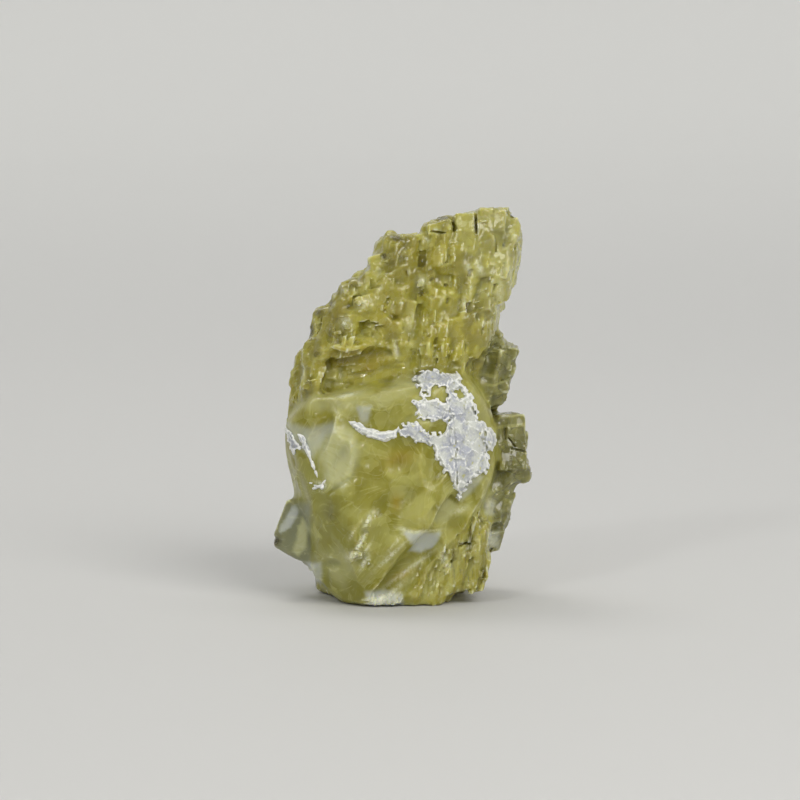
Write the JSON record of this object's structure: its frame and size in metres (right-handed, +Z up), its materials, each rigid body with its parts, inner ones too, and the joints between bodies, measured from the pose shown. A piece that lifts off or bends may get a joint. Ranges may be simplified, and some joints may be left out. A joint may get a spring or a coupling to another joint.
{
  "type": "calcite aggregate",
  "caption": "Honey-yellow calcite cluster: stepped cleavage rhombs grown together above a broad shell-like fracture, standing on a broken flat foot.",
  "frame": {"origin": "centre of the bounding box at the level of the foot", "axes": "+Z up, +X to the right when the broad broken face is seen from the front, +Y towards the back"},
  "size_m": [0.0542, 0.0424, 0.0802],
  "materials": {
    "calcite": "glassy, translucent, honey yellow",
    "white_crust": "satin, opaque white crust"
  },
  "bodies": {
    "root": {"calcite_aggregate": "calcite"}
  },
  "joints": []
}
